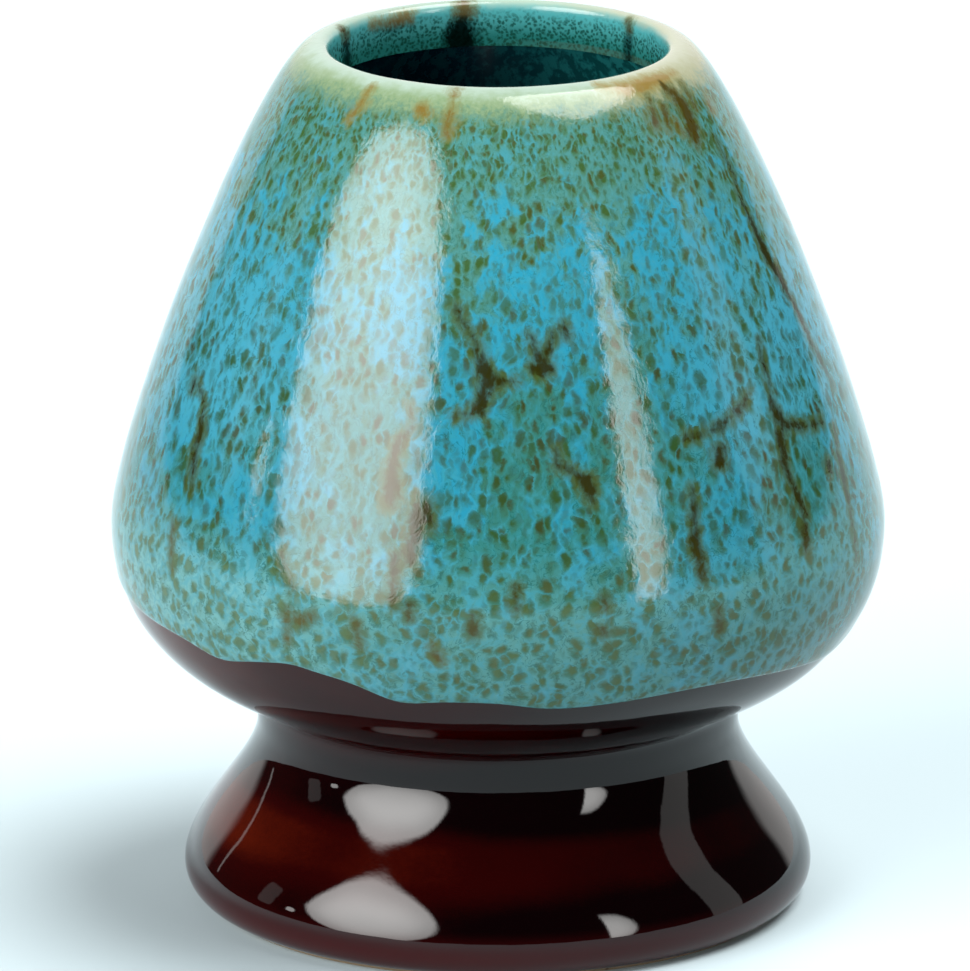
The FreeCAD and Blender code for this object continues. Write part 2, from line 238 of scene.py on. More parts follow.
def chamber_outline():
    """The inside of the bell, from the collar's lower edge down to the axis."""
    collar = np.array([THROAT_RADIUS, HEIGHT - THROAT_DEPTH])
    wall = BELLY_RADIUS - BELL_WALL - GLAZE
    return np.concatenate([
        cubic(collar, collar + polar(CHAMBER_UPPER_FULLNESS, CHAMBER_ANGLE - math.pi / 2),
              (wall, BELLY_HEIGHT + BELLY_UPPER_FULLNESS), (wall, BELLY_HEIGHT)),
        cubic((wall, BELLY_HEIGHT), (wall, BELLY_HEIGHT - CHAMBER_LOWER_FULLNESS),
              (CHAMBER_FLOOR_RADIUS + CHAMBER_FLOOR_FULLNESS, CHAMBER_FLOOR_HEIGHT),
              (CHAMBER_FLOOR_RADIUS, CHAMBER_FLOOR_HEIGHT)),
        np.linspace((CHAMBER_FLOOR_RADIUS, CHAMBER_FLOOR_HEIGHT), (0, CHAMBER_FLOOR_HEIGHT),
                    LINE_POINTS),
    ])


def recess_outline():
    """The inside of the hollow foot, from the bare band up to the axis."""
    return np.concatenate([
        cubic((RING_INNER_RADIUS, RING_BARE_HEIGHT),
              (RING_INNER_RADIUS, RING_BARE_HEIGHT + RECESS_WALL_FULLNESS),
              (RECESS_ROOF_RADIUS + RECESS_ROOF_FULLNESS, RECESS_ROOF_HEIGHT),
              (RECESS_ROOF_RADIUS, RECESS_ROOF_HEIGHT)),
        np.linspace((RECESS_ROOF_RADIUS, RECESS_ROOF_HEIGHT), (0, RECESS_ROOF_HEIGHT), LINE_POINTS),
    ])


class Outline:
    """A meridian walked by its length. outward is 1 for a normal on its left hand, -1 for its right,
    and zero is the length at which reach is 0."""

    def __init__(self, points, outward, zero=0.0):
        keep = np.concatenate([[True], np.hypot(*np.diff(points, axis=0).T) > 1e-6])
        self.points = points[keep]
        self.length = np.concatenate([[0], np.cumsum(np.hypot(*np.diff(self.points, axis=0).T))]) - zero
        along = np.gradient(self.points, self.length, axis=0)
        along /= np.linalg.norm(along, axis=1)[:, None]
        self.normals = outward * np.stack([-along[:, 1], along[:, 0]], 1)
        self.first, self.last = self.length[0], self.length[-1]

    def at(self, reach):
        """Point and unit normal at a reach, for an array of any shape."""
        pick = [np.interp(reach, self.length, column) for column in (*self.points.T, *self.normals.T)]
        scale = np.hypot(pick[2], pick[3])
        return pick[0], pick[1], pick[2] / scale, pick[3] / scale

    def reach_of_height(self, height):
        """Reach of a height on the falling part of the outline."""
        top = np.argmax(self.points[:, 1])
        return np.interp(-np.asarray(height), -self.points[top:, 1], self.length[top:])


def crest_length(points):
    """Length from an outline's start to its highest point."""
    return float(np.cumsum(np.hypot(*np.diff(points, axis=0).T))[np.argmax(points[:, 1]) - 1])


outside_points = outside_outline()
OUTSIDE = Outline(outside_points, 1, crest_length(outside_points))
CHAMBER = Outline(chamber_outline(), -1)
RECESS = Outline(recess_outline(), 1)


def smooth_step(low, high, value):
    """0 at low, 1 at high and level beyond them. low may be over high."""
    t = np.clip((value - low) / (high - low), 0, 1)
    return t * t * (3 - 2 * t)


def hem_height(azimuth):
    """Height of the line where the turquoise coat ends."""
    wave = sum(share * np.cos(count * azimuth - math.radians(phase))
               for count, share, phase in HEM_WAVE_SHARES)
    for at, rise, half_wide in HEM_DRIPS:
        turn = (azimuth - math.radians(at) + math.pi) % (2 * math.pi) - math.pi
        wave = wave + rise / HEM_WAVE * np.exp(-0.5 * (turn / math.radians(half_wide)) ** 2)
    return HEM_HEIGHT + HEM_WAVE * wave


def ripple(azimuth, reach, seed, counts, wavelengths, size):
    """A smooth uneven surface of many crossing waves, about size high."""
    random = np.random.RandomState(seed)
    total = np.zeros(np.broadcast(azimuth, reach).shape)
    power = 0.0
    for _ in range(RIPPLE_WAVES):
        count = random.randint(*counts)
        pitch = 2 * math.pi / random.uniform(*wavelengths) * random.choice((-1, 1))
        weight = 1 / (1 + count / counts[0])
        total += weight * np.cos(count * azimuth + pitch * reach + random.uniform(0, 2 * math.pi))
        power += weight ** 2 / 2
    return size * total / math.sqrt(power)


# Meshes.

def closed_shell(name, face, back, attributes, capped=False):
    """A closed skin of revolution. face and back are grids of (row, column, xyz) from the same
    edge to the same edge, face outwards, and attributes are grids over the face's rows. The back
    gets the values of the face's last row. A capped skin is closed across the axis at its end."""
    rows = np.concatenate([face, back[::-1]])
    count, around = rows.shape[:2]
    index = np.arange(count * around).reshape(count, around)
    below = np.roll(index, -1, axis=0)
    quads = np.stack([index, below, np.roll(below, -1, axis=1), np.roll(index, -1, axis=1)], -1)
    points = rows.reshape(-1, 3)
    fans = []
    if capped:
        quads = np.delete(quads, len(face) - 1, axis=0)
        points = np.concatenate([points, [face[-1].mean(axis=0)], [back[-1].mean(axis=0)]])
        last_face, first_back = index[len(face) - 1], index[len(face)]
        for ring, middle in ((last_face, count * around), (first_back[::-1], count * around + 1)):
            fans += [(int(a), middle, int(b)) for a, b in zip(ring, np.roll(ring, -1))]
    mesh = bpy.data.meshes.new(name)
    mesh.from_pydata((points * MM).tolist(), [], quads.reshape(-1, 4).tolist() + fans)
    for key, values in attributes.items():
        full = np.concatenate([values, np.repeat(values[-1:], len(back), axis=0)]).ravel()
        full = np.concatenate([full, np.full(len(points) - len(full), values[-1, 0])])
        layer = mesh.attributes.new(key, "FLOAT", "POINT")
        layer.data.foreach_set("value", full.astype(np.float32))
    mesh.polygons.foreach_set("use_smooth", [True] * len(mesh.polygons))
    mesh.update()
    piece = bpy.data.objects.new(name, mesh)
    bpy.context.scene.collection.objects.link(piece)
    return piece


def turned_grid(outline, reach, azimuth, rise):
    """Points at reach and azimuth, lifted off the outline by rise."""
    radius, height, out_r, out_z = outline.at(reach)
    radius = radius + out_r * rise
    height = height + out_z * rise
    azimuth = np.broadcast_to(azimuth, radius.shape)
    return np.stack([radius * np.cos(azimuth), radius * np.sin(azimuth), height], -1)


def rows_between(first, last, step, dense_start=False, dense_end=False):
    """Shares from 0 to 1 for rows about step apart, closer together at a dense end."""
    count = max(3, int(math.ceil((last - first) / step)))
    shares = np.linspace(0, 1, count + 1)
    extra = EDGE_ROWS / count
    parts = [shares]
    if dense_start:
        parts.append(extra)
    if dense_end:
        parts.append(1 - extra)
    return np.unique(np.concatenate(parts))


def run_fields(azimuth, reach):
    """Distance to the nearest run's edge, negative inside it, and how rusty that run is."""
    radius = OUTSIDE.at(reach)[0]
    nearest = np.full(reach.shape, 3 * RUN_FIELD_LIMIT)
    rusty = np.zeros(reach.shape)
    for rust, path in RUNS:
        for (a0, s0, w0), (a1, s1, w1) in zip(path, path[1:]):
            a0, a1 = math.radians(a0), math.radians(a1)
            turn = (azimuth - a0 + math.pi) % (2 * math.pi) - math.pi
            x, y = turn * radius, reach - s0
            dx, dy = (a1 - a0) * radius, s1 - s0
            t = np.clip((x * dx + y * dy) / (dx * dx + dy * dy + 1e-9), 0, 1)
            distance = np.hypot(x - t * dx, y - t * dy) - (w0 + t * (w1 - w0))
            rusty = np.where(distance < nearest, rust, rusty)
            nearest = np.minimum(nearest, distance)
    return np.clip(nearest, -RUN_FIELD_LIMIT, RUN_FIELD_LIMIT), rusty


def pool_field(azimuth, reach):
    """1 in the middle of a blue pool, falling to 0 around it."""
    radius = OUTSIDE.at(reach)[0]
    total = np.zeros(reach.shape)
    for at, middle, half_wide, half_tall in POOLS:
        turn = (azimuth - math.radians(at) + math.pi) % (2 * math.pi) - math.pi
        away = (turn * radius / half_wide) ** 2 + ((reach - middle) / half_tall) ** 2
        total = np.maximum(total, np.exp(-0.5 * away))
    return total


def flow_field(reach):
    """Reach drawn out where the outline is narrow, so that the drops keep their proportions there,
    and drawn out once more under the belly, where the photo's drops are shorter."""
    table = np.linspace(OUTSIDE.first, OUTSIDE.last, 2000)
    rate = DROP_RADIUS / np.maximum(OUTSIDE.at(table)[0], 13.0) * (1 + 0.45 * smooth_step(36, 44, table))
    flow = np.concatenate([[0.0], np.cumsum((rate[1:] + rate[:-1]) / 2 * np.diff(table))])
    return np.interp(reach, table, flow)


azimuth = np.arange(AROUND) * 2 * math.pi / AROUND
hem_reach = OUTSIDE.reach_of_height(hem_height(azimuth))


def outside_rise(azimuth, reach):
    """Where the glaze's face lies from the outline: a little under it, in slow waves and small ones
    that are strongest on the bell."""
    strength = 0.35 + 0.65 * smooth_step(4, 12, reach) * (1 - smooth_step(50, 62, reach))
    waves = ripple(azimuth, reach, 7, (3, 26), (9, 44), 0.016)
    fine = ripple(azimuth, reach, 21, (18, 60), (2.4, 7.0), 0.0035)
    return -SUNK + strength * (waves + fine)


def turquoise_piece():
    """The turquoise coat from the collar's lower edge to the hem, which has a bead and a round edge."""
    first = OUTSIDE.first
    share = rows_between(first, float(hem_reach.mean()), FINE_STEP, True, True)[:, None]
    reach = first + share * (hem_reach - first)
    above = hem_reach - reach
    bead = 0.05 * np.exp(-((above - 0.75) / 0.5) ** 2)
    rounding = 0.11 * (1 - np.clip(above / 0.3, 0, 1)) ** 2
    rise = outside_rise(azimuth, reach) + (bead - rounding)
    face = turned_grid(OUTSIDE, reach, azimuth, rise)
    back_share = np.linspace(0, 1, 60)[:, None]
    back_reach = first + back_share * (hem_reach - first)
    back = turned_grid(OUTSIDE, back_reach, azimuth, -GLAZE + 0.02)
    distance, rusty = run_fields(azimuth, reach)
    attributes = {"reach": reach, "above_hem": above, "run_distance": distance, "run_rust": rusty,
                  "pool": pool_field(azimuth, reach), "flow": flow_field(reach)}
    return closed_shell("turquoise_coat", face, back, attributes)


def brown_piece():
    """The brown coat from under the hem to the toe, thinned out at both ends."""
    last = OUTSIDE.last
    start = hem_reach - 0.5
    share = rows_between(float(start.mean()), last, FINE_STEP, False, True)[:, None]
    reach = start + share * (last - start)
    under_hem = 0.07 * (1 - smooth_step(0, 3, reach - hem_reach))
    toe_edge = 0.04 * smooth_step(0.9, 0, last - reach)
    rise = outside_rise(azimuth, reach) - under_hem - toe_edge
    face = turned_grid(OUTSIDE, reach, azimuth, rise)
    back_share = np.linspace(0, 1, 40)[:, None]
    back_reach = start + back_share * (last - start)
    back = turned_grid(OUTSIDE, back_reach, azimuth, -GLAZE + 0.01)
    return closed_shell("brown_coat", face, back, {"reach": reach, "below_hem": reach - hem_reach})


def inside_piece(name, outline, seed):
    """The coat inside a hollow, closed across the axis."""
    last = outline.last - 0.6
    share = rows_between(outline.first, last, INSIDE_STEP, True)[:, None]
    reach = outline.first + share * (last - outline.first) + 0 * azimuth
    waves = ripple(azimuth, reach, seed, (2, 14), (6, 30), 0.014) * smooth_step(0, 3, reach)
    rise = (waves - (SUNK_INSIDE - SUNK_AT_AXIS)) * smooth_step(0.0, 6.0, last - reach) - SUNK_AT_AXIS
    face = turned_grid(outline, reach, azimuth, rise)
    back_reach = outline.first + np.linspace(0, 1, 40)[:, None] * (last - outline.first) + 0 * azimuth
    back = turned_grid(outline, back_reach, azimuth, -GLAZE + 0.02)
    piece = closed_shell(name, face, back, {"reach": reach}, True)
    starts_at_top = face[0, 0, 2] > face[-1, 0, 2]
    if starts_at_top:
        piece.data.flip_normals()
    return piece


# Materials.

# Colours are written as they should show in the picture. The light is brighter than 1, so they are
# taken down by this.
GAIN = 0.4


def colour(red, green, blue):
    """Linear colour of a 0 to 255 display colour, times the gain."""
    def linear(value):
        value /= 255
        return value / 12.92 if value <= 0.04045 else ((value + 0.055) / 1.055) ** 2.4
    return (linear(red) * GAIN, linear(green) * GAIN, linear(blue) * GAIN, 1.0)


class Graph:
    """Short hand for making a node tree. A value is a number or another node's socket."""

    def __init__(self, tree):
        self.tree = tree
        tree.nodes.clear()

    def node(self, kind, inputs=(), **settings):
        made = self.tree.nodes.new(kind)
        for key, value in settings.items():
            setattr(made, key, value)
        for key, value in dict(inputs).items():
            socket = made.inputs[key]
            if isinstance(value, bpy.types.NodeSocket):
                self.tree.links.new(value, socket)
            else:
                socket.default_value = value
        return made

    def math(self, operation, *values):
        return self.node("ShaderNodeMath", dict(enumerate(values)), operation=operation).outputs[0]

    def product(self, first, *others):
        for value in others:
            first = self.math("MULTIPLY", first, value)
        return first

    def linear(self, value, factor, plus):
        return self.math("MULTIPLY_ADD", value, factor, plus)

    def vector(self, operation, *values):
        made = self.node("ShaderNodeVectorMath", operation=operation)
        for index, value in enumerate(values):
            key = "Scale" if operation == "SCALE" and index == 1 else index
            if isinstance(value, bpy.types.NodeSocket):
                self.tree.links.new(value, made.inputs[key])
            else:
                made.inputs[key].default_value = value
        return made.outputs[0]

    def step(self, value, low, high, to_low=0.0, to_high=1.0):
        """A smooth step of value, from to_low at low to to_high at high."""
        made = self.node("ShaderNodeMapRange", {0: value, 1: low, 2: high, 3: to_low, 4: to_high},
                         interpolation_type="SMOOTHSTEP")
        return made.outputs[0]

    def mix(self, factor, first, second):
        return self.node("ShaderNodeMix", {0: factor, 6: first, 7: second}, data_type="RGBA").outputs[2]

    def noise(self, vector, scale=1.0, detail=2.0, roughness=0.5, distortion=0.0):
        return self.node("ShaderNodeTexNoise", {"Vector": vector, "Scale": scale, "Detail": detail,
                                                "Roughness": roughness, "Distortion": distortion})

    def voronoi(self, vector, feature="F1"):
        return self.node("ShaderNodeTexVoronoi", {"Vector": vector, "Scale": 1.0}, feature=feature)

    def parts(self, vector):
        return self.node("ShaderNodeSeparateXYZ", {0: vector}).outputs

    def attribute(self, name):
        return self.node("ShaderNodeAttribute", attribute_name=name).outputs["Fac"]


def material(name):
    """A new material, its graph, and the place on the object in millimetres."""
    made = bpy.data.materials.new(name)
    made.use_nodes = True
    graph = Graph(made.node_tree)
    place = graph.node("ShaderNodeTexCoord").outputs["Object"]
    return made, graph, graph.vector("SCALE", place, 1 / MM)


def finish_material(graph, base, height=None, bump=0.0, **values):
    """The shader, with the other values set on its own sockets, and a bump that is bump deep."""
    shader = graph.node("ShaderNodeBsdfPrincipled", {"Base Color": base})
    for key, value in values.items():
        shader.inputs[key.replace("_", " ").title().replace("Ior", "IOR")].default_value = value
    if height is not None:
        lift = graph.node("ShaderNodeBump", {"Height": height, "Distance": bump * MM, "Strength": 1.0})
        graph.tree.links.new(lift.outputs[0], shader.inputs["Normal"])
    out = graph.node("ShaderNodeOutputMaterial")
    graph.tree.links.new(shader.outputs[0], out.inputs[0])


def stretched(graph, place, across, along):
    """Coordinates whose cells are across wide and along tall."""
    return graph.vector("MULTIPLY", place, (1 / across, 1 / across, 1 / along))


def glaze_coordinates(graph, place):
    """The place put on a cylinder, as high as the flow, and bent a little so that no cell is regular."""
    level = graph.vector("MULTIPLY", place, (1.0, 1.0, 0.0))
    level = graph.vector("SCALE", graph.vector("NORMALIZE", level), DROP_RADIUS)
    flow = graph.node("ShaderNodeCombineXYZ", {2: graph.attribute("flow")}).outputs[0]
    place = graph.vector("ADD", level, flow)
    bend = graph.noise(place, 0.5, 1.0).outputs["Color"]
    bend = graph.vector("SCALE", graph.vector("SUBTRACT", bend, (0.5, 0.5, 0.5)), 1.3)
    ragged = graph.noise(place, 1.9, 2.0, 0.6).outputs["Color"]
    ragged = graph.vector("SCALE", graph.vector("SUBTRACT", ragged, (0.5, 0.5, 0.5)), 0.5)
    return graph.vector("ADD", graph.vector("ADD", place, bend), ragged)


def drop_field(graph, place, across, along, least, most, share):
    """Drops of the under glaze that shine through, in cells across wide and along tall. A drop fills
    least to most of its cell, and share of the cells have one. Gives masks of halo and core, the
    distance from the borders between cells, and a random number for each cell."""
    spread = stretched(graph, place, across, along)
    cell = graph.voronoi(spread)
    random = graph.parts(cell.outputs["Color"])
    size = graph.linear(random[0], most - least, least)
    below = graph.math("SUBTRACT", graph.parts(cell.outputs["Position"])[2], graph.parts(spread)[2])
    away = graph.math("DIVIDE", cell.outputs["Distance"], size)
    chosen = graph.step(random[1], 1.0 - share, 1.1 - share)
    halo = graph.product(graph.step(away, 1.05, 0.45), chosen)
    core = graph.step(graph.linear(below, -0.55, away), 0.72, 0.25)
    core = graph.product(core, chosen)
    border = graph.voronoi(spread, "DISTANCE_TO_EDGE").outputs["Distance"]
    return halo, core, border, random[2]


def turquoise_material():
    """Mottled turquoise, with pale celadon over the lip and a dark throat. Runs of iron lie over all
    of it. side is the place from the object's left to its right."""
    made, graph, place = material("turquoise_reactive_glaze")
    side = graph.parts(place)[0]
    reach = graph.attribute("reach")
    place = glaze_coordinates(graph, place)

    # Noises of three sizes, and masks of the zones from the lip down.
    wide = graph.noise(stretched(graph, place, 8.0, 11.0), 1.0, 3.0, 0.55).outputs["Fac"]
    middle = graph.noise(stretched(graph, place, 1.5, 2.6), 1.0, 3.0, 0.6).outputs["Fac"]
    fine = graph.noise(stretched(graph, place, 0.38, 0.7), 1.0, 2.0, 0.6).outputs["Fac"]
    tone = graph.step(reach, 12.0, 30.0)
    low_zone = graph.step(reach, 24.0, 42.0)
    near_lip = graph.step(reach, 13.0, 5.5)
    pale = graph.product(graph.step(reach, 38.0, 46.0), graph.step(side, -6.0, -22.0, 0.35, 0.75))

    def toned(upper, lower):
        """One colour high on the bell and another low."""
        return graph.mix(tone, colour(*upper), colour(*lower))

    # The ground: teal with sky blue pools, paler at the sides and near the hem, with deep lines. The
    # paler sides are partly the glaze's own tone and partly painted light, for the light the flanks
    # catch.
    mottle = graph.math("ADD", graph.product(wide, 0.55), graph.product(middle, 0.45))
    mottle = graph.linear(graph.attribute("pool"), 0.1, mottle)
    mottle = graph.linear(side, -0.0006, mottle)
    sky = graph.linear(near_lip, -0.7, 1.0)
    sky = graph.product(graph.step(mottle, 0.5, 0.6), sky)
    base = graph.mix(sky, toned((82, 146, 138), (54, 130, 126)), toned((48, 162, 194), (44, 152, 182)))
    base = graph.mix(graph.step(fine, 0.46, 0.72, 0.0, 0.5), base, toned((84, 164, 172), (56, 150, 160)))
    # Painted light: the sides are made paler where they catch light from the side, on top of the glaze's
    # own tone.
    flank_tone_and_painted_light = graph.step(graph.math("ABSOLUTE", side), 10.0, 22.0, 0.0, 0.6)
    flank_tone_and_painted_light = graph.product(flank_tone_and_painted_light, graph.step(reach, 38.0, 30.0, 0.15, 1.0))
    flank_tone_and_painted_light = graph.product(flank_tone_and_painted_light, graph.step(reach, 10.0, 24.0, 0.2, 1.0))
    base = graph.mix(flank_tone_and_painted_light, base, colour(86, 180, 206))
    base = graph.mix(pale, base, colour(128, 192, 192))
    deep = graph.noise(stretched(graph, place, 0.7, 1.2), 1.0, 2.0, 0.5, 0.8).outputs["Fac"]
    deep = graph.math("ABSOLUTE", graph.math("SUBTRACT", deep, 0.5))
    deep = graph.product(graph.step(deep, 0.04, 0.0), graph.step(middle, 0.56, 0.44, 0.1, 0.6))
    base = graph.mix(deep, base, toned((44, 112, 100), (16, 92, 92)))

    # Large drops: green halos, a pale net between them, and olive cores. They are weaker in the blue.
    fade = graph.step(reach, 2.4, 4.6)
    thin = graph.step(mottle, 0.68, 0.48)
    softened = graph.linear(pale, -0.6, 1.0)
    halo, core, border, chance = drop_field(graph, place, 0.85, 1.6, 0.5, 0.8, 0.95)
    shown = graph.product(halo, fade, graph.linear(thin, 0.35, 0.4))
    base = graph.mix(shown, base, toned((78, 124, 88), (60, 110, 84)))
    net = graph.product(graph.step(border, 0.16, 0.02), graph.linear(low_zone, 0.4, 0.15))
    net = graph.product(net, graph.step(middle, 0.40, 0.58))
    base = graph.mix(net, base, toned((84, 170, 186), (70, 160, 176)))
    green = toned((62, 92, 28), (50, 78, 18))
    brown = toned((72, 74, 12), (60, 58, 6))
    dark = graph.mix(graph.step(chance, 0.3, 0.8), green, brown)
    dark = graph.mix(pale, dark, colour(124, 132, 62))
    shown = graph.product(core, fade, graph.linear(thin, 0.45, 0.4))
    base = graph.mix(graph.product(shown, softened), base, dark)

    # Small drops, densest near the lip.
    halo, core = drop_field(graph, place, 0.55, 1.1, 0.45, 0.75, 0.75)[:2]
    amount = graph.linear(near_lip, 0.45, 0.25)
    amount = graph.product(amount, graph.step(reach, 1.6, 4.4))
    base = graph.mix(graph.product(halo, amount), base, toned((70, 120, 86), (52, 104, 80)))
    core = graph.product(core, softened)
    base = graph.mix(graph.product(core, amount), base, toned((64, 80, 20), (50, 64, 14)))

    # The lip, with a wandering and speckled lower edge, warmer on the right.
    wander = graph.noise(stretched(graph, place, 2.4, 2.6), 1.0, 3.0, 0.6).outputs["Fac"]
    wander = graph.linear(wander, 2.4, -1.2)
    speckled = graph.noise(stretched(graph, place, 0.55, 0.6), 1.0, 2.0, 0.6).outputs["Fac"]
    speckled = graph.product(graph.linear(speckled, 2.6, -1.3), graph.step(reach, 1.2, 2.6))
    lip = graph.math("ADD", graph.math("ADD", reach, wander), speckled)
    celadon = graph.mix(graph.step(lip, 0.3, 2.6), colour(172, 198, 182), colour(140, 166, 126))
    celadon = graph.mix(graph.step(lip, 2.2, 4.4), celadon, colour(112, 142, 104))
    warm = graph.product(graph.step(graph.linear(wide, 12.0, side), 10.0, 20.0), 0.45)
    celadon = graph.mix(warm, celadon, colour(196, 178, 138))
    base = graph.mix(graph.step(lip, 2.2, 5.2), celadon, base)

    # The throat: brighter above and specked with dark, with a painted highlight along its lower edge on
    # the right.
    throat = graph.mix(graph.step(reach, -1.0, -3.9), colour(92, 196, 200), colour(40, 128, 122))
    specks = graph.voronoi(stretched(graph, place, 0.62, 0.62))
    speck = graph.step(specks.outputs["Distance"], 0.7, 0.25)
    speck = graph.product(speck, graph.step(graph.math("ADD", reach, wander), -0.7, -2.4, 0.0, 0.75))
    throat = graph.mix(speck, throat, colour(10, 56, 30))
    # Painted highlight: a pale line on the right of the throat's lower edge, where the edge catches the
    # light.
    edge = graph.product(graph.step(reach, -3.62, -3.8), graph.step(side, -2.0, 8.0))
    throat = graph.mix(graph.product(edge, 0.35), throat, colour(90, 112, 92))
    base = graph.mix(graph.step(graph.linear(wander, 0.3, reach), -0.2, -1.4), base, throat)

    # The runs, with frayed edges: a halo and a core, olive to rust, and near black in the throat.
    frayed = graph.linear(fine, 0.9, -0.45)
    frayed = graph.math("ADD", frayed, graph.linear(middle, 1.6, -0.8))
    run = graph.math("ADD", graph.attribute("run_distance"), frayed)
    rust = graph.attribute("run_rust")
    rust = graph.product(rust, rust)
    around_run = graph.mix(rust, colour(78, 96, 48), colour(150, 140, 78))
    in_run = graph.mix(rust, colour(44, 40, 2), colour(146, 106, 10))
    in_run = graph.mix(pale, in_run, colour(104, 96, 34))
    inside = graph.step(reach, -1.2, -2.4)
    around_run = graph.mix(inside, around_run, colour(0, 30, 24))
    in_run = graph.mix(inside, in_run, colour(1, 6, 4))
    base = graph.mix(graph.step(run, 0.9, 0.1, 0.0, 0.65), base, around_run)
    strong = graph.linear(rust, -0.32, 0.92)
    base = graph.mix(graph.product(graph.step(run, 0.3, -0.4), strong), base, in_run)

    # A pale rim along the hem.
    rim = graph.linear(fine, 0.3, graph.attribute("above_hem"))
    rim = graph.step(rim, 0.5, 0.25, 0.0, 0.55)
    base = graph.mix(rim, base, colour(126, 186, 190))
    height = graph.math("ADD", graph.product(middle, 0.8), graph.product(fine, 0.12))
    finish_material(graph, base, height, 0.034, roughness=0.1, specular_ior_level=0.27)
    return made


def brown_material():
    """Rust brown where the glaze is thin and near black where it is thicker. It is lighter at the left
    and darker at the right, partly thinner glaze and partly painted light from the left panel. It is
    thinner in the waist, thickest just under the waist and low on the foot, and worn thin at the toe."""
    made, graph, place = material("red_brown_glaze")
    reach = graph.attribute("reach")
    wide = graph.noise(stretched(graph, place, 11.0, 9.0), 1.0, 2.0).outputs["Fac"]
    fine = graph.noise(place, 2.2, 4.0, 0.6).outputs["Fac"]
    side, _, level = graph.parts(place)
    # The left is lighter and the right darker: painted light from the left panel, along with thinner
    # glaze at the left.
    thickness_and_painted_light = graph.linear(side, 0.42 / 26, 0.42)
    thickness_and_painted_light = graph.math("ADD", thickness_and_painted_light, graph.linear(wide, 0.5, -0.25))
    thickness_and_painted_light = graph.math("ADD", thickness_and_painted_light, graph.step(reach, 74.5, 71.5, 0.0, 0.6))
    thickness_and_painted_light = graph.math("ADD", thickness_and_painted_light, graph.step(level, 15.6, 18.5, 0.0, -0.42))
    thickness_and_painted_light = graph.math("ADD", thickness_and_painted_light, graph.step(reach, 76.5, 81.0, 0.0, 0.55))
    thickness_and_painted_light = graph.math("ADD", thickness_and_painted_light, graph.linear(fine, 0.16, -0.08))
    base = graph.mix(graph.step(thickness_and_painted_light, -0.15, 0.42), colour(92, 22, 4), colour(42, 1, 1))
    base = graph.mix(graph.step(thickness_and_painted_light, 0.38, 0.95), base, colour(8, 0, 1))
    base = graph.mix(graph.step(reach, 81.0, 84.0), base, colour(66, 8, 10))
    base = graph.mix(graph.step(reach, 85.6, 86.8), base, colour(104, 56, 44))
    finish_material(graph, base, fine, 0.0015, roughness=0.03, specular_ior_level=0.3)
    return made


def chamber_glaze_with_painted_shade():
    """The inside of the bell, dark blue at the left and mottled teal at the right, darkened all over as
    painted shade and near black further down, where the hollow is deepest in shade.
    """
    made, graph, place = material("chamber_glaze")
    reach = graph.attribute("reach")
    fine = graph.noise(stretched(graph, place, 0.9, 1.6), 1.0, 4.0, 0.6).outputs["Fac"]
    side = graph.step(graph.parts(place)[0], -6.0, 14.0)
    plain = graph.mix(side, colour(8, 44, 60), colour(14, 84, 84))
    mottled = graph.mix(side, colour(12, 70, 80), colour(36, 128, 128))
    base = graph.mix(graph.step(fine, 0.44, 0.58), plain, mottled)
    # Painted shade: near black further down the hollow.
    base = graph.mix(graph.step(reach, 4.0, 22.0), base, colour(16, 24, 30))
    finish_material(graph, base, fine, 0.01, roughness=0.12, specular_ior_level=0.3)
    return made


def clay_material():
    """Bare stoneware with iron specks, seen on the foot ring."""
    made, graph, place = material("bare_stoneware")
    fine = graph.noise(place, 3.5, 5.0, 0.65).outputs["Fac"]
    speck = graph.voronoi(graph.vector("SCALE", place, 1.1))
    base = graph.mix(fine, colour(176, 146, 112), colour(206, 182, 150))
    chosen = graph.math("GREATER_THAN", graph.parts(speck.outputs["Color"])[0], 0.72)
    spot = graph.product(graph.step(speck.outputs["Distance"], 0.22, 0.1), chosen)
    base = graph.mix(spot, base, colour(96, 62, 40))
    finish_material(graph, base, fine, 0.05, roughness=0.85, specular_ior_level=0.3)
    return made


def dress(piece, slot, coat, *nodes):
    """Gives a coat's mesh its material and puts it in the place of the CAD's nodes."""
    piece.data.materials.clear()
    piece.data.materials.append(coat)
    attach(piece, "root")
    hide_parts(*nodes)


brown = brown_material()
clay = clay_material()
dress(turquoise_piece(), "turquoise_glaze", turquoise_material(), "turquoise_glaze")
dress(brown_piece(), "brown_glaze", brown, "brown_glaze")
dress(inside_piece("chamber_coat", CHAMBER, 3), "chamber_glaze", chamber_glaze_with_painted_shade(), "chamber_glaze")
dress(inside_piece("recess_coat", RECESS, 5), "brown_glaze", brown, "recess_glaze")
for node in ("bell_body", "pedestal_foot"):
    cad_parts[node].material_slots[0].material = clay


# Studio: a pale floor, and light that comes from panels far off.

def studio_floor():
    mesh = bpy.data.meshes.new("studio_floor")
    half = 4.0
    corners = [(-half, -half, 0), (half, -half, 0), (half, half, 0), (-half, half, 0)]
    mesh.from_pydata(corners, [], [(0, 1, 2, 3)])
    floor = bpy.data.objects.new("studio_floor", mesh)
    bpy.context.scene.collection.objects.link(floor)
    made = bpy.data.materials.new("studio_floor")
    made.use_nodes = True
    graph = Graph(made.node_tree)
    finish_material(graph, (0.31, 0.375, 0.4, 1.0), roughness=0.95, specular_ior_level=0.1)
    mesh.materials.append(made)


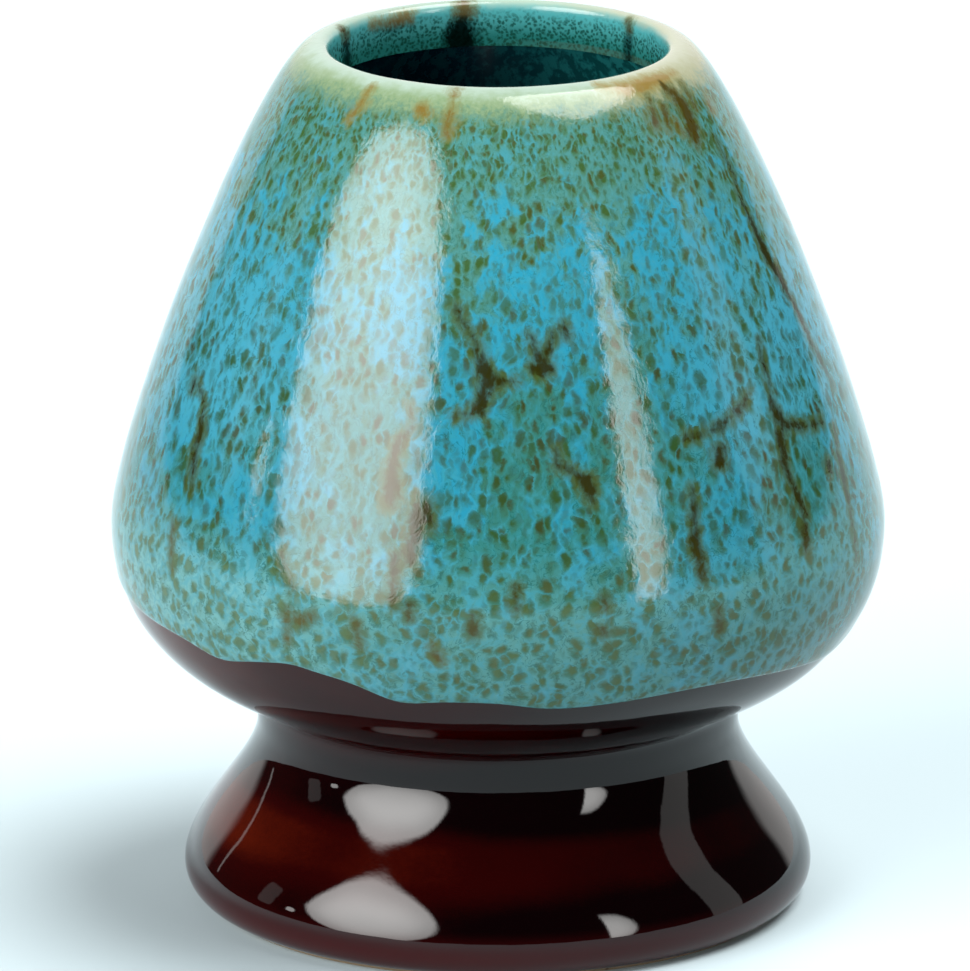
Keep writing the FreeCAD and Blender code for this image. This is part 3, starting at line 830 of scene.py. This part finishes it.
def studio_light():
    """A world whose strength depends on the direction alone: a dark room with soft panels. Angles are
    in degrees, turned from the camera's side towards its right, and up from level."""
    world = bpy.data.worlds.new("studio")
    bpy.context.scene.world = world
    world.use_nodes = True
    graph = Graph(world.node_tree)
    direction = graph.node("ShaderNodeTexCoord").outputs["Generated"]
    x, y, z = graph.parts(direction)
    degrees = 180 / math.pi
    turn = graph.product(graph.math("ARCTAN2", x, graph.product(y, -1.0)), degrees)
    up = graph.product(graph.math("ARCSINE", z), degrees)

    def offset(value, middle, half):
        """0 at the middle, -1 and 1 at half on either side."""
        return graph.linear(value, 1 / half, -middle / half)

    def panel(turn_at, up_at, half_wide, half_tall, power, soft, cut=0.0, hot=0.0):
        """A mask of a rounded panel: power 2 is an ellipse and more is squarer, and soft is the
        width of its edge. cut takes away its lower left, and hot makes its middle brighter and its
        edge dimmer by that share."""
        across = offset(turn, turn_at, half_wide)
        along = offset(up, up_at, half_tall)
        edge = graph.math("ADD", graph.math("POWER", graph.math("ABSOLUTE", across), power),
                          graph.math("POWER", graph.math("ABSOLUTE", along), power))
        if cut:
            corner = graph.product(graph.math("MINIMUM", across, 0.0), graph.math("MINIMUM", along, 0.0))
            edge = graph.linear(corner, cut, edge)
        shown = graph.step(edge, 1 + soft, 1 - soft)
        return graph.product(shown, graph.step(edge, 0.0, 1.0, 1 + hot, 1 - hot)) if hot else shown

    def lit(total, strength, mask):
        return graph.linear(mask, strength, total)

    # The room: dark towards the camera and pale behind the object.
    away = graph.math("ABSOLUTE", turn)
    total = graph.linear(graph.step(away, 131.0, 137.0), 1.25, 0.03)
    # The main panel on the left, brighter above, and the half panel on the right.
    lamp = graph.step(up, -5.0, 40.0, 9.8, 15.2)
    total = lit(total, lamp, panel(-50.5, 20.5, 27.0, 25.0, 2.3, 0.12, 0.9, 0.22))
    half_panel = panel(40.5, 14.0, 11.5, 17.5, 2.2, 0.25, 0.0, 0.2)
    total = lit(total, 10.5, graph.product(half_panel, graph.step(turn, 40.0, 41.5)))
    # A pale card on the right, and three small things on the left.
    total = lit(total, 1.05, panel(91.5, 20.0, 7.5, 40.0, 8.0, 0.2))
    total = lit(total, 0.7, panel(-95.0, 15.0, 4.0, 8.0, 5.0, 0.3))
    total = lit(total, 8.0, panel(-82.0, 11.0, 2.2, 2.2, 3.0, 0.4))
    total = lit(total, 1.5, panel(-125.5, 12.0, 0.6, 8.0, 5.0, 0.4))
    # The overhead panel is an ellipse on a level ceiling, whose height is 1.
    high = graph.math("MAXIMUM", z, 0.05)
    side = offset(graph.math("DIVIDE", x, high), 0.51, 0.49)
    fore = offset(graph.math("DIVIDE", y, high), -0.01, 0.52)
    square = graph.math("ADD", graph.product(side, side), graph.product(fore, fore))
    total = lit(total, 14.0, graph.step(graph.math("SQRT", square), 1.06, 0.94))
    shader = graph.node("ShaderNodeBackground", {"Color": (1.0, 0.99, 0.975, 1.0), "Strength": total})
    out = graph.node("ShaderNodeOutputWorld")
    graph.tree.links.new(shader.outputs[0], out.inputs[0])


def camera():
    """Looks a little down on the middle of the object, which sits right of the picture's middle."""
    looks_down = math.radians(16.2)
    distance = 1.0888
    aim = (-0.00108, 0.0, 0.0353)
    data = bpy.data.cameras.new("camera")
    data.sensor_fit = "HORIZONTAL"
    data.sensor_width = 36.0
    data.lens = 482.47
    data.clip_start = 0.05
    data.clip_end = 30.0
    made = bpy.data.objects.new("camera", data)
    made.location = (aim[0], aim[1] - distance * math.cos(looks_down),
                     aim[2] + distance * math.sin(looks_down))
    made.rotation_euler = (math.pi / 2 - looks_down, 0.0, 0.0)
    bpy.context.scene.collection.objects.link(made)
    bpy.context.scene.camera = made


studio_floor()
studio_light()
camera()
bpy.context.scene.view_settings.view_transform = "Standard"
